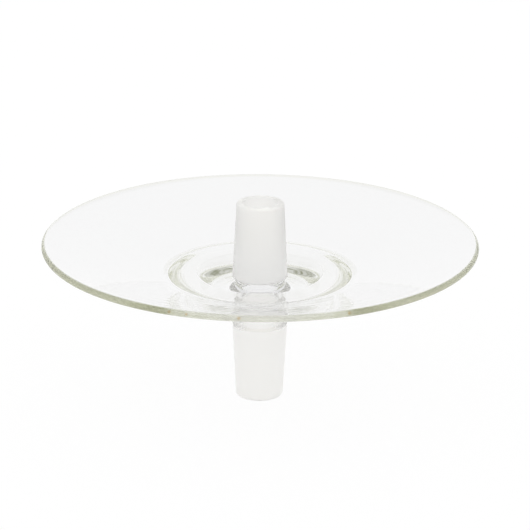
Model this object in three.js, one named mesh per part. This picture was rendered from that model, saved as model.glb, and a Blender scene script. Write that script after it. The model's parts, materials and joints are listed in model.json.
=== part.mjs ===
import * as THREE from 'three';

// Glass ash tray for a water pipe: a shallow saucer with a well sunk in its thick hub, on a hollow stem
// that has a ground taper joint above the saucer and another below it. All of it is glass, fused together.
// Millimetres, +Z up. The origin is on the stem's axis at the wide end of the lower ground joint,
// which is where the tray is held in the pipe.

// Ground taper joints
const JOINT_WIDE_DIAMETER = 18.8;
const JOINT_TAPER = 0.1; // diameter lost for each millimetre of length
const UPPER_GROUND_LENGTH = 26;
const LOWER_GROUND_LENGTH = 26;
const GROUND_END_WALL = 2.2; // glass between bore and outside at the narrow end
const LIP_OUTER_ROUND = 0.8;
const LIP_INNER_ROUND = 0.5;

// Clear tube of the stem
const STEM_DIAMETER = 17;
const STEM_WALL = 1.7;
const LOWER_STEM_LENGTH = 11.8; // from the lower joint's wide end to the hub's underside
const SHOULDER_HEIGHT = 2.1; // swelling of the tube where it meets the lower joint
const UPPER_NECK_LENGTH = 3.3; // from the well's floor to the upper joint's rolled edge
const FOOT_FLARE_RADIUS = 2.2; // trumpet foot of each tube where it is fused to the hub
const FOOT_FLARE_SWEEP = 70; // degrees of that arc

// Flange of the saucer
const SAUCER_DIAMETER = 148.6;
const FLANGE_THICKNESS = 2.2;
const FLANGE_SLOPE = 15.5; // degrees above the horizon
const FLANGE_BEND_RADIUS = 13; // of its top, where it leaves the flat ring
const FLANGE_UNDER_BEND_RADIUS = 9;
const FLOOR_RING_DIAMETER = 62.7; // outside of the flat ring round the well
const FLOOR_RING_THICKNESS = 1.6;

// Well, and the hub of thick glass that it is sunk in
const WELL_MOUTH_DIAMETER = 42.8;
const WELL_FLOOR_DIAMETER = 33.2;
const WELL_DEPTH = 5.2;
const WELL_MOUTH_BEND_RADIUS = 0.8;
const WELL_FLOOR_BEND_RADIUS = 0.9;
const HUB_THICKNESS = 1.6; // at the stem
const HUB_FALL = 1.1; // of the underside, from the stem to the hub's foot
const HUB_SETBACK = 2.4; // of the hub's outside from the fold under the flange
const HUB_LEAN = 3.2; // of the hub's outside, inwards to its foot
const HUB_FOOT_BEND_RADIUS = 5.5;
const HUB_TOP_BEND_RADIUS = 0.5;

// Fineness of the faceted surfaces
const SEGMENTS_AROUND = 64;
const DEGREES_PER_ARC_STEP = 18;
const SHOULDER_STEPS = 6;

const radians = THREE.MathUtils.degToRad;

// Sizes that follow from the ones above
const jointWideRadius = JOINT_WIDE_DIAMETER / 2;
const stemRadius = STEM_DIAMETER / 2;
const boreRadius = stemRadius - STEM_WALL;
const shoulderSwell = jointWideRadius - stemRadius;
const hubUnderside = LOWER_STEM_LENGTH;
const wellFloor = hubUnderside + HUB_THICKNESS;
const floorRing = wellFloor + WELL_DEPTH;
const upperNeckTop = wellFloor + UPPER_NECK_LENGTH;
const upperJointWideEnd = upperNeckTop + shoulderSwell;
const footRadius = stemRadius + FOOT_FLARE_RADIUS * (1 - Math.cos(radians(FOOT_FLARE_SWEEP)));

// Points on an arc, both ends included, in the half plane of radius and height
function arc(centreR, centreZ, radius, startDegrees, endDegrees) {
  const steps = Math.max(2, Math.ceil(Math.abs(endDegrees - startDegrees) / DEGREES_PER_ARC_STEP));
  const points = [];
  for (let i = 0; i <= steps; i += 1) {
    const angle = radians(startDegrees + ((endDegrees - startDegrees) * i) / steps);
    const r = centreR + radius * Math.cos(angle);
    const z = centreZ + radius * Math.sin(angle);
    points.push(new THREE.Vector2(r, z));
  }
  return points;
}

// Turns the closed outline of a section, listed counterclockwise with radius to the right and height up,
// into a ring-shaped solid about the Z axis
function revolve(outline) {
  const closed = [...outline, outline[0].clone()];
  const geometry = new THREE.LatheGeometry(closed, SEGMENTS_AROUND);
  geometry.rotateX(Math.PI / 2);
  return geometry;
}

// Signed angle in degrees from one direction to the next, positive to the left
function turnAngle(before, after) {
  return THREE.MathUtils.radToDeg(Math.atan2(before.cross(after), before.dot(after)));
}

// A path through corners { r, z, bend }, each rounded by an arc of radius bend, or sharp where it has none
function roundedPath(corners) {
  const corner = corners.map((each) => new THREE.Vector2(each.r, each.z));
  const leftOf = (direction) => new THREE.Vector2(-direction.y, direction.x);
  const heading = corner.slice(1).map((point, i) => point.clone().sub(corner[i]).normalize());
  const points = [corner[0]];
  for (let i = 1; i < corner.length - 1; i += 1) {
    const { bend } = corners[i];
    if (bend) {
      const turn = turnAngle(heading[i - 1], heading[i]);
      const inward = Math.sign(turn);
      const setBack = bend * Math.tan(radians(Math.abs(turn)) / 2);
      const centre = corner[i]
        .clone()
        .addScaledVector(heading[i - 1], -setBack)
        .addScaledVector(leftOf(heading[i - 1]), inward * bend);
      const start = THREE.MathUtils.radToDeg(heading[i - 1].angle()) - inward * 90;
      points.push(...arc(centre.x, centre.y, bend, start, start + turn));
    } else {
      points.push(corner[i]);
    }
  }
  points.push(corner.at(-1));
  return points;
}

// Saucer: the well's floor and wall, the flat floor ring and the sloping flange on top, the thick hub under
// the well, and a round rim
function saucerPlate() {
  const half = FLANGE_THICKNESS / 2;
  const rise = Math.tan(radians(FLANGE_SLOPE));
  const upright = half / Math.cos(radians(FLANGE_SLOPE)); // half the flange's thickness, measured upright
  const fold = FLOOR_RING_DIAMETER / 2;
  const rimRadius = SAUCER_DIAMETER / 2 - half;
  const rimHeight = floorRing - upright + (rimRadius - fold) * rise;
  const rim = arc(rimRadius, rimHeight, half, FLANGE_SLOPE - 90, FLANGE_SLOPE + 90);
  const ringUnderside = floorRing - FLOOR_RING_THICKNESS;
  const foldUnder = fold + (2 * upright - FLOOR_RING_THICKNESS) / rise;
  const hubTop = foldUnder - HUB_SETBACK;
  const topside = roundedPath([
    { r: boreRadius, z: wellFloor },
    { r: WELL_FLOOR_DIAMETER / 2, z: wellFloor, bend: WELL_FLOOR_BEND_RADIUS },
    { r: WELL_MOUTH_DIAMETER / 2, z: floorRing, bend: WELL_MOUTH_BEND_RADIUS },
    { r: fold, z: floorRing, bend: FLANGE_BEND_RADIUS },
    { r: rim.at(-1).x, z: rim.at(-1).y },
  ]);
  const underside = roundedPath([
    { r: boreRadius, z: hubUnderside },
    { r: footRadius, z: hubUnderside },
    { r: hubTop - HUB_LEAN, z: hubUnderside - HUB_FALL, bend: HUB_FOOT_BEND_RADIUS },
    { r: hubTop, z: ringUnderside, bend: HUB_TOP_BEND_RADIUS },
    { r: foldUnder, z: ringUnderside, bend: FLANGE_UNDER_BEND_RADIUS },
    { r: rim[0].x, z: rim[0].y },
  ]);
  return revolve([...underside, ...rim.slice(1, -1), ...topside.reverse()]);
}

// Trumpet foot of a tube, from its edge on the seat to the tube's wall. A seat above the tube has side -1.
function flaredFoot(seatHeight, side) {
  const drop = FOOT_FLARE_RADIUS * Math.sin(radians(FOOT_FLARE_SWEEP));
  const centreR = stemRadius + FOOT_FLARE_RADIUS;
  const centreZ = seatHeight + side * drop;
  return arc(centreR, centreZ, FOOT_FLARE_RADIUS, 180 + side * FOOT_FLARE_SWEEP, 180);
}

// Clear tube between the well's floor and the upper ground joint
function upperNeck() {
  const outside = flaredFoot(wellFloor, 1);
  return revolve([
    new THREE.Vector2(boreRadius, wellFloor),
    ...outside,
    new THREE.Vector2(stemRadius, upperNeckTop),
    new THREE.Vector2(boreRadius, upperNeckTop),
  ]);
}

// Clear tube under the saucer, which swells in a soft shoulder to the lower joint's wide end
function lowerStem() {
  const shoulder = [];
  for (let i = 0; i <= SHOULDER_STEPS; i += 1) {
    const share = i / SHOULDER_STEPS;
    const swell = (shoulderSwell * (1 + Math.cos(Math.PI * share))) / 2;
    shoulder.push(new THREE.Vector2(stemRadius + swell, SHOULDER_HEIGHT * share));
  }
  const foot = flaredFoot(hubUnderside, -1).reverse();
  return revolve([
    new THREE.Vector2(boreRadius, 0),
    ...shoulder,
    ...foot,
    new THREE.Vector2(boreRadius, hubUnderside),
  ]);
}

// Outline of a ground cone with its wide end at height 0 and its narrow end at the given length.
// edge is what joins the bore to the wide end, and seamHeight is where the bore starts.
function groundCone(length, edge, seamHeight) {
  const narrowRadius = jointWideRadius - (length * JOINT_TAPER) / 2;
  const endBoreRadius = narrowRadius - GROUND_END_WALL;
  const outerLip = arc(narrowRadius - LIP_OUTER_ROUND, length - LIP_OUTER_ROUND, LIP_OUTER_ROUND, 0, 90);
  const innerLip = arc(endBoreRadius + LIP_INNER_ROUND, length - LIP_INNER_ROUND, LIP_INNER_ROUND, 90, 180);
  return [new THREE.Vector2(boreRadius, seamHeight), ...edge, ...outerLip, ...innerLip];
}

// Frosted taper above the saucer, narrow end up, with a rolled edge that overhangs the neck
function upperGroundCone() {
  const rolledEdge = arc(stemRadius, 0, shoulderSwell, -90, 0);
  const geometry = revolve(groundCone(UPPER_GROUND_LENGTH, rolledEdge, -shoulderSwell));
  return geometry.translate(0, 0, upperJointWideEnd);
}

// Frosted taper below the saucer, narrow end down, on the stem's shoulder
function lowerGroundCone() {
  const wideEdge = [new THREE.Vector2(jointWideRadius, 0)];
  const geometry = revolve(groundCone(LOWER_GROUND_LENGTH, wideEdge, 0));
  return geometry.rotateX(Math.PI);
}

function clearGlass() {
  const material = new THREE.MeshStandardMaterial({ color: 0xf0f2ea, roughness: 0.04, metalness: 0 });
  material.transparent = true;
  material.opacity = 0.35;
  return material;
}

function groundGlass() {
  const material = new THREE.MeshStandardMaterial({ color: 0xf1f1ec, roughness: 0.65, metalness: 0 });
  material.transparent = true;
  material.opacity = 0.85;
  return material;
}

function piece(name, geometry, material) {
  const mesh = new THREE.Mesh(geometry, material);
  mesh.name = name;
  return mesh;
}

const tray = new THREE.Group();
tray.add(
  piece('saucer_plate', saucerPlate(), clearGlass()),
  piece('upper_neck', upperNeck(), clearGlass()),
  piece('upper_ground_cone', upperGroundCone(), groundGlass()),
  piece('lower_stem', lowerStem(), clearGlass()),
  piece('lower_ground_cone', lowerGroundCone(), groundGlass()),
);

export default tray;
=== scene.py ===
import json
import math

import bpy
from mathutils import Matrix, Vector

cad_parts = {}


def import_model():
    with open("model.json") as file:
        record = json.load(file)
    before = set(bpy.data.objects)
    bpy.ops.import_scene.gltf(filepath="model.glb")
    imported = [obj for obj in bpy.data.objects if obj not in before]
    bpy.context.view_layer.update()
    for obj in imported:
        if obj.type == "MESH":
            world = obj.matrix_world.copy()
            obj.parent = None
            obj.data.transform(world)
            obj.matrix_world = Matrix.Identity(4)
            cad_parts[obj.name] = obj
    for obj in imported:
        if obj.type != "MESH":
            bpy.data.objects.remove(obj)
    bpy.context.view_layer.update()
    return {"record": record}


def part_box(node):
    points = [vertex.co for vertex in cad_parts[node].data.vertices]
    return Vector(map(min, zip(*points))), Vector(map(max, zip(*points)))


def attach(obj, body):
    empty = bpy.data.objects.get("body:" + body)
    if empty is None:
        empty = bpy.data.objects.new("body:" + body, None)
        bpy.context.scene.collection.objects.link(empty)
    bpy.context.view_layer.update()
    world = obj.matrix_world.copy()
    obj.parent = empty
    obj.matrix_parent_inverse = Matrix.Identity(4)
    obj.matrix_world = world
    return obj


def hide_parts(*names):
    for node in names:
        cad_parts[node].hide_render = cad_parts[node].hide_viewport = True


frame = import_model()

MM = 0.001

# Camera, as fitted to the rim and to both ground joints. The pixels are those of a 530 x 530 picture.
PICTURE_WIDTH = 530.0
FOCAL_LENGTH = 2729.0  # in pixels
SENSOR_WIDTH = 36.0
CLIP_START = 0.01
CLIP_END = 20
CAMERA_DISTANCE = 929.0 * MM
CAMERA_ELEVATION = math.radians(19.13)
CAMERA_ROLL = math.radians(0.344)
AIM_HEIGHT = 29.0 * MM
AIM_PIXEL = (260.1, 242.9)

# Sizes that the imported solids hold
_, saucer_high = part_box("saucer_plate")
neck_low, neck_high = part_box("upper_neck")
stem_low, stem_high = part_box("lower_stem")
_, upper_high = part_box("upper_ground_cone")
lower_low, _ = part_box("lower_ground_cone")
mounts = {mount["name"]: mount for mount in frame["record"]["mounts"]}

SAUCER_RADIUS = saucer_high.x
FLOOR_RING = mounts["floor_ring"]["pos_m"][2]
WELL_FLOOR = neck_low.z
HUB_UNDERSIDE = stem_high.z
UPPER_SEAM = neck_high.z
LOWER_SEAM = stem_low.z
WIDE_RADIUS = upper_high.x
UPPER_END = upper_high.z
LOWER_END = lower_low.z
FOOT_RADIUS = neck_high.x

# Sizes inside those boxes, the same as the solids have
STEM_RADIUS = 8.5 * MM
BORE_RADIUS = 6.8 * MM
END_RADIUS = 8.1 * MM
END_BORE_RADIUS = 5.9 * MM
LIP_OUTER_ROUND = 0.8 * MM
LIP_INNER_ROUND = 0.5 * MM
SHOULDER_HEIGHT = 2.1 * MM
FOOT_FLARE_RADIUS = 2.2 * MM
FOOT_FLARE_SWEEP = 70
FLANGE_THICKNESS = 2.2 * MM
FLANGE_SLOPE = math.radians(15.5)
FLANGE_BEND = 13 * MM
FLANGE_UNDER_BEND = 9 * MM
FLOOR_RING_RADIUS = 31.35 * MM
FLOOR_RING_THICKNESS = 1.6 * MM
WELL_MOUTH_RADIUS = 21.4 * MM
WELL_FLOOR_RADIUS = 16.6 * MM
WELL_MOUTH_BEND = 0.8 * MM
WELL_FLOOR_BEND = 0.9 * MM
HUB_FALL = 1.1 * MM
HUB_SETBACK = 2.4 * MM
HUB_LEAN = 3.2 * MM
HUB_FOOT_BEND = 5.5 * MM
HUB_TOP_BEND = 0.5 * MM

# Fineness of the smooth surfaces
SEGMENTS = 256
ARC_STEP = 6  # degrees
STRAIGHT_STEP = 1.5 * MM
SHOULDER_STEPS = 16
SHARP_TURN = math.radians(40)  # of the section, above which the edge is drawn sharp

# Seams and the frosted zone
SEAM_GAP = 0.004 * MM  # between two fused faces
SEAM_REACH = 0.01 * MM  # within which a point counts as lying on a seam
FROST_REACH = 0.25 * MM  # inside the taper's side, within which a face is frosted
LIP_START = 3  # degrees, where the lip's arc leaves the taper's side

# Unevenness of the hand-worked saucer
WAVES_START = 36 * MM  # from the axis
WAVES_FADE = 12 * MM
SWELLS = ((0.030, 3, 0.6), (0.022, 5, 2.1))  # height in mm, waves round the saucer, phase
RIPPLE_HEIGHT = 0.006  # mm
RIPPLE_LENGTH = 5.2 * MM
RIPPLE_WANDER = 1.5


def arc(centre, radius, start, end):
    """Points from start to end degrees on a circle, both ends included."""
    steps = max(3, math.ceil(abs(end - start) / ARC_STEP))
    points = []
    for i in range(steps + 1):
        angle = math.radians(start + (end - start) * i / steps)
        points.append(Vector(centre) + radius * Vector((math.cos(angle), math.sin(angle))))
    return points


def left_of(direction):
    return Vector((-direction.y, direction.x))


def rounded_path(corners):
    """A path through corners (r, z, bend), each but the ends rounded by an arc of radius bend."""
    places = [Vector(corner[:2]) for corner in corners]
    headings = [(b - a).normalized() for a, b in zip(places, places[1:])]
    points = [places[0]]
    for i in range(1, len(places) - 1):
        before, after, bend = headings[i - 1], headings[i], corners[i][2]
        turn = math.atan2(before.x * after.y - before.y * after.x, before.dot(after))
        inward = math.copysign(1, turn)
        centre = places[i] - before * bend * math.tan(abs(turn) / 2) + left_of(before) * inward * bend
        start = math.degrees(math.atan2(before.y, before.x)) - inward * 90
        points += arc(centre, bend, start, start + math.degrees(turn))
    points.append(places[-1])
    return points


def divided(outline):
    """The closed outline with its long straight stretches cut into short ones."""
    points = []
    for a, b in zip(outline, outline[1:] + outline[:1]):
        steps = max(1, round((b - a).length / STRAIGHT_STEP))
        points += [a.lerp(b, i / steps) for i in range(steps)]
    return points


def revolve(name, outline, seams, ground=None, waves=None):
    """A ring-shaped piece with that section. seams are (height, outer radius) of flat faces that are fused
    to a neighbour. ground(point) says whether a point of the section lies on the frosted zone.
    waves(r, angle) lifts a point."""
    points = divided(outline)
    vertices = []
    for k in range(SEGMENTS):
        angle = 2 * math.pi * k / SEGMENTS
        for p in points:
            lift = waves(p.x, angle) if waves else 0.0
            vertices.append((p.x * math.cos(angle), p.x * math.sin(angle), p.y + lift))
    count = len(points)
    faces = []
    for k in range(SEGMENTS):
        here, there = k * count, (k + 1) % SEGMENTS * count
        for j in range(count):
            n = (j + 1) % count
            faces.append((here + j, there + j, there + n, here + n))
    mesh = bpy.data.meshes.new(name)
    mesh.from_pydata(vertices, [], faces)
    mesh.update()

    def fused(a, b):
        for height, radius in seams:
            level = abs(a.y - height) < SEAM_REACH and abs(b.y - height) < SEAM_REACH
            if level and max(a.x, b.x) < radius + SEAM_REACH:
                return True
        return False

    def mark(attribute, ring):
        data = mesh.attributes.new(attribute, "FLOAT", "FACE").data
        data.foreach_set("value", [float(flag) for flag in ring] * SEGMENTS)

    sides = [(points[j], points[(j + 1) % count]) for j in range(count)]
    mark("fused", [fused(a, b) for a, b in sides])
    if ground:
        mark("ground", [ground((a + b) / 2) for a, b in sides])
    mesh.polygons.foreach_set("use_smooth", [True] * len(faces))
    piece = bpy.data.objects.new(name, mesh)
    bpy.context.scene.collection.objects.link(piece)
    mark_sharp(mesh, points)
    return piece


def mark_sharp(mesh, points):
    """Makes the edges round the piece sharp where its section turns by more than SHARP_TURN."""
    count = len(points)
    sharp = set()
    for j in range(count):
        before = points[j] - points[j - 1]
        after = points[(j + 1) % count] - points[j]
        if before.angle(after) > SHARP_TURN:
            sharp.add(j)
    for edge in mesh.edges:
        a, b = edge.vertices
        if a % count == b % count and a % count in sharp:
            edge.use_edge_sharp = True


def saucer_waves(r, angle):
    """Slight unevenness of hand-worked glass, none at the hub."""
    reach = min(1.0, max(0.0, (r - WAVES_START) / WAVES_FADE))
    swell = sum(height * math.cos(waves * angle + phase) for height, waves, phase in SWELLS)
    wander = RIPPLE_WANDER * math.cos(2 * angle)
    ripple = RIPPLE_HEIGHT * math.cos(2 * math.pi * r / RIPPLE_LENGTH + wander)
    return reach * (swell + ripple) * MM


def saucer_plate():
    half = FLANGE_THICKNESS / 2
    rise = math.tan(FLANGE_SLOPE)
    upright = half / math.cos(FLANGE_SLOPE)
    slope = math.degrees(FLANGE_SLOPE)
    rim_radius = SAUCER_RADIUS - half
    rim_height = FLOOR_RING - upright + (rim_radius - FLOOR_RING_RADIUS) * rise
    rim = arc((rim_radius, rim_height), half, slope - 90, slope + 90)
    ring_underside = FLOOR_RING - FLOOR_RING_THICKNESS
    fold_under = FLOOR_RING_RADIUS + (2 * upright - FLOOR_RING_THICKNESS) / rise
    hub_top = fold_under - HUB_SETBACK
    # The fillets of the tubes' feet end in the plate, which they reach into by the dip
    dip = FOOT_FLARE_RADIUS * (1 - math.sin(math.radians(FOOT_FLARE_SWEEP)))
    flare = STEM_RADIUS + FOOT_FLARE_RADIUS
    above = (flare, WELL_FLOOR - dip + FOOT_FLARE_RADIUS)
    groove = arc(above, FOOT_FLARE_RADIUS, 180 + FOOT_FLARE_SWEEP, 270)
    below = (flare, HUB_UNDERSIDE + dip - FOOT_FLARE_RADIUS)
    ceiling = arc(below, FOOT_FLARE_RADIUS, 180 - FOOT_FLARE_SWEEP, 90)
    top = rounded_path(
        [
            (flare, WELL_FLOOR - dip),
            (WELL_FLOOR_RADIUS, WELL_FLOOR, WELL_FLOOR_BEND),
            (WELL_MOUTH_RADIUS, FLOOR_RING, WELL_MOUTH_BEND),
            (FLOOR_RING_RADIUS, FLOOR_RING, FLANGE_BEND),
            rim[-1],
        ]
    )
    under = rounded_path(
        [
            (flare, HUB_UNDERSIDE + dip),
            (hub_top - HUB_LEAN, HUB_UNDERSIDE - HUB_FALL, HUB_FOOT_BEND),
            (hub_top, ring_underside, HUB_TOP_BEND),
            (fold_under, ring_underside, FLANGE_UNDER_BEND),
            rim[0],
        ]
    )
    outline = [Vector((BORE_RADIUS, HUB_UNDERSIDE))] + ceiling + under[1:-1] + rim + top[1:-1][::-1]
    outline += groove[::-1] + [Vector((BORE_RADIUS, WELL_FLOOR))]
    seams = [(WELL_FLOOR, FOOT_RADIUS), (HUB_UNDERSIDE, FOOT_RADIUS)]
    return revolve("saucer_plate_glass", outline, seams, waves=saucer_waves)


def flared_foot(seat, side):
    """From the foot's edge on its seat to the tube's wall. A seat above the tube has side -1."""
    drop = FOOT_FLARE_RADIUS * math.sin(math.radians(FOOT_FLARE_SWEEP))
    centre = (STEM_RADIUS + FOOT_FLARE_RADIUS, seat + side * drop)
    return arc(centre, FOOT_FLARE_RADIUS, 180 + side * FOOT_FLARE_SWEEP, 180)


def upper_neck():
    low, high = WELL_FLOOR + SEAM_GAP, UPPER_SEAM - SEAM_GAP
    outline = [Vector((BORE_RADIUS, low))] + flared_foot(low, 1)
    outline += [Vector((STEM_RADIUS, high)), Vector((BORE_RADIUS, high))]
    return revolve("upper_neck_glass", outline, [(low, FOOT_RADIUS), (high, STEM_RADIUS)])


def lower_stem():
    low, high = LOWER_SEAM + SEAM_GAP, HUB_UNDERSIDE - SEAM_GAP
    outline = [Vector((BORE_RADIUS, low))]
    for i in range(SHOULDER_STEPS + 1):
        swell = (WIDE_RADIUS - STEM_RADIUS) * (1 + math.cos(math.pi * i / SHOULDER_STEPS)) / 2
        outline.append(Vector((STEM_RADIUS + swell, low + SHOULDER_HEIGHT * i / SHOULDER_STEPS)))
    outline += flared_foot(high, -1)[::-1]
    outline.append(Vector((BORE_RADIUS, high)))
    return revolve("lower_stem_glass", outline, [(low, WIDE_RADIUS), (high, FOOT_RADIUS)])


def ground_cone(name, seam, wide, end, edge):
    """A frosted taper between the height of its wide end and that of its narrow end. edge leads from the
    seam to the wide end, and is drawn for a cone that points up."""
    way = math.copysign(1, end - wide)

    def place(point):
        return Vector((point.x, wide + way * point.y))

    length = abs(end - wide)
    outer_centre = (END_RADIUS - LIP_OUTER_ROUND, length - LIP_OUTER_ROUND)
    outer = arc(outer_centre, LIP_OUTER_ROUND, LIP_START, 90)
    inner_centre = (END_BORE_RADIUS + LIP_INNER_ROUND, length - LIP_INNER_ROUND)
    inner = arc(inner_centre, LIP_INNER_ROUND, 90, 180)
    section = [Vector((BORE_RADIUS, way * (seam - wide)))] + edge + outer + inner
    outline = [place(point) for point in section]
    if way < 0:
        outline.reverse()

    def frosted(point):
        along = way * (point.y - wide)
        side = WIDE_RADIUS - (WIDE_RADIUS - END_RADIUS) * along / length
        return point.x > side - FROST_REACH or along > length - LIP_OUTER_ROUND

    return revolve(name, outline, [(seam, WIDE_RADIUS)], ground=frosted)


def upper_ground_cone():
    roll = WIDE_RADIUS - STEM_RADIUS
    wide = UPPER_SEAM + roll
    edge = arc((STEM_RADIUS, 0), roll, -90, 0)
    return ground_cone("upper_ground_cone_glass", UPPER_SEAM, wide, UPPER_END, edge)


def lower_ground_cone():
    edge = [Vector((WIDE_RADIUS, 0))]
    return ground_cone("lower_ground_cone_glass", LOWER_SEAM, LOWER_SEAM, LOWER_END, edge)


# Materials. A noise is given as its scale and detail. Pairs are the ends of a range.

GLASS_IOR = 1.473
GLASS_TINT = (0.73, 0.74, 0.60)
GLASS_DENSITY = 8.0
GROUND_DENSITY = 2.0

CLEAR_COLOUR = (0.929, 0.929, 0.934)
# Painted shade: the outermost rim is tinted darker and more olive, standing in for the look that light
# guided through the flange gives it
RIM_PAINTED_SHADE = (0.84, 0.84, 0.78)
RIM_PAINTED_SHADE_RADII = (73.4 * MM, 74.0 * MM)
FILM_END_RADII = (64 * MM, 71 * MM)  # where the film and the ripples fade out towards the rim
FILM_NOISE = (90, 4)
FILM_NOISE_RANGE = (0.55, 0.78)
FILM_ROUGHNESS = 0.02
RIPPLE_NOISE = (60, 1)
RIPPLE_BUMP = 0.02 * MM

SPECK_STRENGTH = 0.9
SPECK_CORE = 0.4  # share of its radius within which a speck is at full strength
AMBER = (0.55, 0.33, 0.12)
DARK_SPECK = (0.12, 0.10, 0.06)
SPECKS = (  # place in mm, radius in mm, colour
    ((-6.6, -73.8, 29.4), 0.8, AMBER),
    ((-28.7, -68.3, 29.4), 0.7, AMBER),
    ((-23.2, -70.4, 29.4), 0.6, AMBER),
    ((28.4, -68.4, 29.4), 0.8, AMBER),
    # Dark specks near the rim's left and right ends
    ((-73.0, -12.9, 29.4), 0.6, DARK_SPECK),
    ((-68.5, -28.4, 29.4), 0.7, DARK_SPECK),
    ((73.0, -13.0, 29.4), 0.5, DARK_SPECK),
)

FROST_WHITE = (1.0, 0.996, 0.985)
# The grey of the random clouds and of the painted shade
FROST_CLOUD_AND_SHADE_GREY = (0.975, 0.967, 0.943)
# Painted shade: the frosted colour greys above and below this height, standing in for how the light falls
# on the cones
LEAST_SHADED_HEIGHT = 20 * MM
PAINTED_SHADE_REACH = (4 * MM, 24 * MM)  # above and below the least shaded height, over which the painted shade sets in
PAINTED_SHADE_SHARE = 0.7
CLOUD_NOISE = (110, 3)
CLOUD_SHARE = 0.5
GRAIN_NOISE = (4200, 2)
GRAIN_BUMP = 0.03 * MM
NOISE_RANGE = (0.3, 0.7)  # which nearly all of a noise's values lie in
SCATTERED_SHARE = (0.42, 0.58)  # of the light that meets the frosted face
FOOT_PAINTED_LIGHT = (0.42, 0.06)  # added to that share at the heights below, as painted light that whitens the lower cone
FOOT_PAINTED_LIGHT_HEIGHTS = (18 * MM, 34 * MM)
FROST_ROUGHNESS = (0.32, 0.48)
BORE_ROUGHNESS = 0.04


def new_material(name):
    material = bpy.data.materials.new(name)
    material.use_nodes = True
    tree = material.node_tree
    return material, tree, tree.nodes["Principled BSDF"]


def maths(tree, operation, a, b=0.0):
    """A Math node on two values, each a number or a socket."""
    node = tree.nodes.new("ShaderNodeMath")
    node.operation = operation
    for socket, value in zip(node.inputs, (a, b)):
        if isinstance(value, (int, float)):
            socket.default_value = value
        else:
            tree.links.new(value, socket)
    return node.outputs["Value"]


def map_range(tree, value, a, b, low=0.0, high=1.0):
    """The value, a socket, taken from the range low to high to the range a to b."""
    node = tree.nodes.new("ShaderNodeMapRange")
    tree.links.new(value, node.inputs["Value"])
    for name, number in (("From Min", low), ("From Max", high), ("To Min", a), ("To Max", b)):
        node.inputs[name].default_value = number
    return node.outputs["Result"]


def mix_colours(tree, factor, a, b):
    """Blends colour a into b by factor, a socket. Either colour may be a socket."""
    node = tree.nodes.new("ShaderNodeMix")
    node.data_type = "RGBA"
    tree.links.new(factor, node.inputs["Factor"])
    for name, colour in (("A", a), ("B", b)):
        if isinstance(colour, tuple):
            node.inputs[name].default_value = (*colour, 1)
        else:
            tree.links.new(colour, node.inputs[name])
    return node.outputs["Result"]


def face_value(tree, name):
    node = tree.nodes.new("ShaderNodeAttribute")
    node.attribute_name = name
    return node.outputs["Fac"]


def object_place(tree):
    return tree.nodes.new("ShaderNodeTexCoord").outputs["Object"]


def parted(tree, vector):
    """The X, Y and Z sockets of a vector socket."""
    node = tree.nodes.new("ShaderNodeSeparateXYZ")
    tree.links.new(vector, node.inputs["Vector"])
    return node.outputs["X"], node.outputs["Y"], node.outputs["Z"]


def off_axis(tree, low, high):
    """0 nearer to the stem's axis than low, 1 farther than high."""
    x, y, _ = parted(tree, object_place(tree))
    squares = maths(tree, "ADD", maths(tree, "MULTIPLY", x, x), maths(tree, "MULTIPLY", y, y))
    return map_range(tree, maths(tree, "POWER", squares, 0.5), 0.0, 1.0, low, high)


def noise(tree, place, scale, detail):
    """The value of a noise at place, a vector socket."""
    node = tree.nodes.new("ShaderNodeTexNoise")
    node.inputs["Scale"].default_value = scale
    node.inputs["Detail"].default_value = detail
    tree.links.new(place, node.inputs["Vector"])
    return node.outputs["Fac"]


def bump(tree, height, distance):
    node = tree.nodes.new("ShaderNodeBump")
    node.inputs["Distance"].default_value = distance
    tree.links.new(height, node.inputs["Height"])
    return node.outputs["Normal"]


def absorb(tree, density):
    volume = tree.nodes.new("ShaderNodeVolumeAbsorption")
    volume.inputs["Color"].default_value = (*GLASS_TINT, 1)
    volume.inputs["Density"].default_value = density
    tree.links.new(volume.outputs["Volume"], tree.nodes["Material Output"].inputs["Volume"])


def bend_light(tree, shader):
    """Gives the glass its refraction, apart from fused faces, which bend no light."""
    shader.inputs["IOR"].default_value = GLASS_IOR
    tree.links.new(map_range(tree, face_value(tree, "fused"), GLASS_IOR, 1.0), shader.inputs["IOR"])


def rim_shade_and_specks(tree):
    """The colour of the glass, with painted shade that darkens its outermost rim towards olive, amber
    specks of burnt ash there, and dark specks at the rim's two ends.
    """
    # Painted shade at the outer rim
    colour = mix_colours(tree, off_axis(tree, *RIM_PAINTED_SHADE_RADII), CLEAR_COLOUR, RIM_PAINTED_SHADE)
    for place, radius, speck_colour in SPECKS:
        distance = tree.nodes.new("ShaderNodeVectorMath")
        distance.operation = "DISTANCE"
        tree.links.new(object_place(tree), distance.inputs[0])
        distance.inputs[1].default_value = [value * MM for value in place]
        core = SPECK_CORE * radius * MM
        near = map_range(tree, distance.outputs["Value"], SPECK_STRENGTH, 0.0, core, radius * MM)
        colour = mix_colours(tree, near, colour, speck_colour)
    return colour


def clear_glass():
    """Glass with slight ripples and a trace of ash film, and a smooth fire-polished rim."""
    material, tree, shader = new_material("clear_glass")
    # The base colour carries painted shade at the rim
    tree.links.new(rim_shade_and_specks(tree), shader.inputs["Base Color"])
    shader.inputs["Transmission Weight"].default_value = 1
    bend_light(tree, shader)
    inside = maths(tree, "SUBTRACT", 1.0, off_axis(tree, *FILM_END_RADII))
    film = map_range(
        tree, noise(tree, object_place(tree), *FILM_NOISE), 0.0, FILM_ROUGHNESS, *FILM_NOISE_RANGE
    )
    tree.links.new(maths(tree, "MULTIPLY", film, inside), shader.inputs["Roughness"])
    ripples = maths(tree, "MULTIPLY", noise(tree, object_place(tree), *RIPPLE_NOISE), inside)
    tree.links.new(bump(tree, ripples, RIPPLE_BUMP), shader.inputs["Normal"])
    absorb(tree, GLASS_DENSITY)
    return material


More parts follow.
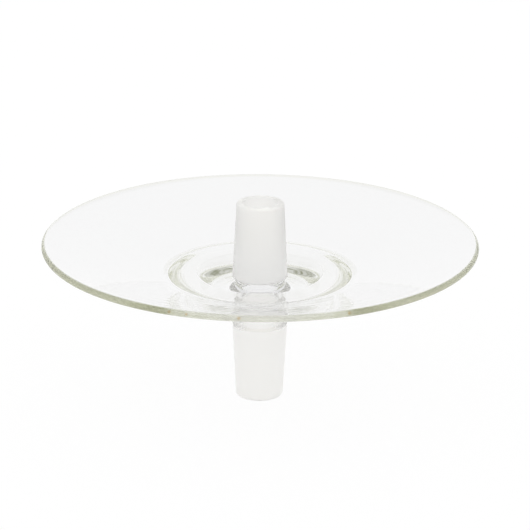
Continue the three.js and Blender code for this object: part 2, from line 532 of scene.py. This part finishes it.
def ground_glass():
    """The frosted zone scatters part of the light at its outer face, with fine grain, painted shade that
    greys it above and below one height, and painted light that lets more of its white scatter low down. The
    bore is clear.
    """
    material, tree, shader = new_material("ground_glass")
    clouds = noise(tree, object_place(tree), *CLOUD_NOISE)
    grain = noise(tree, object_place(tree), *GRAIN_NOISE)
    _, _, z = parted(tree, object_place(tree))
    # Painted shade: greyer away from one height
    off_least_shaded = maths(tree, "ABSOLUTE", maths(tree, "SUBTRACT", z, LEAST_SHADED_HEIGHT))
    painted_shade = map_range(tree, off_least_shaded, 0.0, PAINTED_SHADE_SHARE, *PAINTED_SHADE_REACH)
    cloud_tone_and_painted_shade = maths(tree, "ADD", painted_shade, maths(tree, "MULTIPLY", clouds, CLOUD_SHARE))
    tree.links.new(mix_colours(tree, cloud_tone_and_painted_shade, FROST_WHITE, FROST_CLOUD_AND_SHADE_GREY), shader.inputs["Base Color"])
    ground = face_value(tree, "ground")
    geometry = tree.nodes.new("ShaderNodeNewGeometry")
    outward = maths(tree, "SUBTRACT", 1.0, geometry.outputs["Backfacing"])
    frost = maths(tree, "MULTIPLY", ground, outward)
    # Painted light: more of the white frosted colour shows low down, whitening the lower cone
    painted_light = map_range(tree, z, *FOOT_PAINTED_LIGHT, *FOOT_PAINTED_LIGHT_HEIGHTS)
    scatter_and_painted_light = maths(tree, "ADD", map_range(tree, clouds, *SCATTERED_SHARE, *NOISE_RANGE), painted_light)
    scatter_and_painted_light = maths(tree, "MULTIPLY", frost, scatter_and_painted_light)
    tree.links.new(maths(tree, "SUBTRACT", 1.0, scatter_and_painted_light), shader.inputs["Transmission Weight"])
    bend_light(tree, shader)
    rough = map_range(tree, grain, *FROST_ROUGHNESS, *NOISE_RANGE)
    scratches = maths(tree, "MULTIPLY", ground, rough)
    tree.links.new(maths(tree, "MAXIMUM", scratches, BORE_ROUGHNESS), shader.inputs["Roughness"])
    height = maths(tree, "MULTIPLY", ground, grain)
    tree.links.new(bump(tree, height, GRAIN_BUMP), shader.inputs["Normal"])
    absorb(tree, GROUND_DENSITY)
    return material


def dress(piece, material, node):
    piece.data.materials.append(material)
    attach(piece, "root")
    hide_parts(node)


CLEAR, GROUND = clear_glass(), ground_glass()
dress(saucer_plate(), CLEAR, "saucer_plate")
dress(upper_neck(), CLEAR, "upper_neck")
dress(upper_ground_cone(), GROUND, "upper_ground_cone")
dress(lower_stem(), CLEAR, "lower_stem")
dress(lower_ground_cone(), GROUND, "lower_ground_cone")


# Studio

WHITE = (1.0, 1.0, 1.0)
FLOOR_RADIUS = 4.0
FLOOR_SEGMENTS = 64
FLOOR_GAP = 0.05 * MM  # between it and the lower joint's end
FLOOR_COLOUR = (0.9, 0.9, 0.9)
FLOOR_GLOW = 0.94
ROOM_LIGHT = 1.16

# The dark part of the room. The ranges are those over which the shade sets in, of a direction's parts.
ROOM_SHADE = (0.33, 0.34, 0.25)
SHADE_OVERHEAD = (math.sin(math.radians(18)), math.sin(math.radians(52)))  # Z
SHADE_SIDEWAYS = (0.16, 0.34)  # X, to either side
SHADE_BEYOND = (-0.30, 0.0)  # Y, away from the camera
PATCH_NOISE = (9, 2)
PATCH_NOISE_RANGE = (0.42, 0.58)
PATCH_SHADE = (0.55, 1.0)

# Light is guided through the flange to the rim over many bounces, which gives the rim its olive tint
LIGHT_BOUNCES = 96


def glass_rays(tree, path):
    """1 for rays that come by way of glass. path is a Light Path node."""
    return maths(tree, "MAXIMUM", path.outputs["Is Glossy Ray"], path.outputs["Is Transmission Ray"])


def floor():
    """A white floor that keeps the object's shadow, and glows for rays that show it to the camera."""
    mesh = bpy.data.meshes.new("floor")
    angles = [2 * math.pi * i / FLOOR_SEGMENTS for i in range(FLOOR_SEGMENTS)]
    ring = [(FLOOR_RADIUS * math.cos(angle), FLOOR_RADIUS * math.sin(angle), 0) for angle in angles]
    mesh.from_pydata(ring, [], [tuple(range(FLOOR_SEGMENTS))])
    obj = bpy.data.objects.new("floor", mesh)
    obj.location.z = LOWER_END - FLOOR_GAP
    bpy.context.scene.collection.objects.link(obj)
    material, tree, shader = new_material("floor_white")
    shader.inputs["Base Color"].default_value = (*FLOOR_COLOUR, 1)
    shader.inputs["Roughness"].default_value = 1.0
    shader.inputs["Specular IOR Level"].default_value = 0.0
    glow = tree.nodes.new("ShaderNodeEmission")
    glow.inputs["Color"].default_value = (*WHITE, 1)
    glow.inputs["Strength"].default_value = 1.0
    path = tree.nodes.new("ShaderNodeLightPath")
    seen = maths(tree, "MAXIMUM", path.outputs["Is Camera Ray"], glass_rays(tree, path))
    mix = tree.nodes.new("ShaderNodeMixShader")
    tree.links.new(maths(tree, "MULTIPLY", seen, FLOOR_GLOW), mix.inputs["Fac"])
    tree.links.new(shader.outputs["BSDF"], mix.inputs[1])
    tree.links.new(glow.outputs["Emission"], mix.inputs[2])
    tree.links.new(mix.outputs["Shader"], tree.nodes["Material Output"].inputs["Surface"])
    material.cycles.emission_sampling = "NONE"
    mesh.materials.append(material)


def world():
    """White for the camera. The glass shows a bright room that is dark overhead, to both sides, and all
    else is lit by a plain even light."""
    scene_world = bpy.data.worlds.new("studio")
    bpy.context.scene.world = scene_world
    scene_world.use_nodes = True
    tree = scene_world.node_tree
    background = tree.nodes["Background"]
    direction = tree.nodes.new("ShaderNodeTexCoord").outputs["Generated"]
    x, y, z = parted(tree, direction)
    overhead = map_range(tree, z, 0.0, 1.0, *SHADE_OVERHEAD)
    sideways = map_range(tree, maths(tree, "ABSOLUTE", x), 0.0, 1.0, *SHADE_SIDEWAYS)
    patchy = map_range(tree, noise(tree, direction, *PATCH_NOISE), *PATCH_SHADE, *PATCH_NOISE_RANGE)
    beyond = map_range(tree, y, 0.0, 1.0, *SHADE_BEYOND)
    shade = maths(tree, "MULTIPLY", overhead, sideways)
    shade = maths(tree, "MULTIPLY", shade, maths(tree, "MULTIPLY", patchy, beyond))
    room = mix_colours(tree, shade, WHITE, ROOM_SHADE)
    path = tree.nodes.new("ShaderNodeLightPath")
    unscattered = maths(tree, "LESS_THAN", path.outputs["Diffuse Depth"], 0.5)
    through_glass = maths(tree, "MULTIPLY", glass_rays(tree, path), unscattered)
    light = mix_colours(tree, path.outputs["Is Camera Ray"], (ROOM_LIGHT,) * 3, WHITE)
    seen = mix_colours(tree, through_glass, light, room)
    tree.links.new(seen, background.inputs["Color"])
    background.inputs["Strength"].default_value = 1.0


def turned(a, b, angle):
    """Two unit vectors at right angles, turned in their plane by the angle, a towards b."""
    cosine, sine = math.cos(angle), math.sin(angle)
    return cosine * a + sine * b, cosine * b - sine * a


def camera():
    data = bpy.data.cameras.new("camera")
    data.sensor_width = SENSOR_WIDTH
    data.lens = FOCAL_LENGTH / PICTURE_WIDTH * SENSOR_WIDTH
    data.clip_start, data.clip_end = CLIP_START, CLIP_END
    obj = bpy.data.objects.new("camera", data)
    bpy.context.scene.collection.objects.link(obj)
    bpy.context.scene.camera = obj
    away = Vector((0, -math.cos(CAMERA_ELEVATION), math.sin(CAMERA_ELEVATION)))
    forward = -away
    right = Vector((1, 0, 0))
    up = right.cross(forward)
    # The aim point isn't in the middle of the picture, so the camera is turned off it
    pan = math.atan2(AIM_PIXEL[0] - PICTURE_WIDTH / 2, FOCAL_LENGTH)
    tilt = math.atan2(AIM_PIXEL[1] - PICTURE_WIDTH / 2, FOCAL_LENGTH)
    forward, up = turned(forward, up, tilt)
    forward, right = turned(forward, right, -pan)
    right, up = turned(right, up, CAMERA_ROLL)
    axes = Matrix((right, up, -forward)).transposed().to_4x4()
    obj.matrix_world = Matrix.Translation(Vector((0, 0, AIM_HEIGHT)) + away * CAMERA_DISTANCE) @ axes


floor()
world()
camera()

scene = bpy.context.scene
scene.view_settings.view_transform = "Standard"
scene.cycles.max_bounces = LIGHT_BOUNCES
scene.cycles.transmission_bounces = LIGHT_BOUNCES
scene.cycles.glossy_bounces = LIGHT_BOUNCES
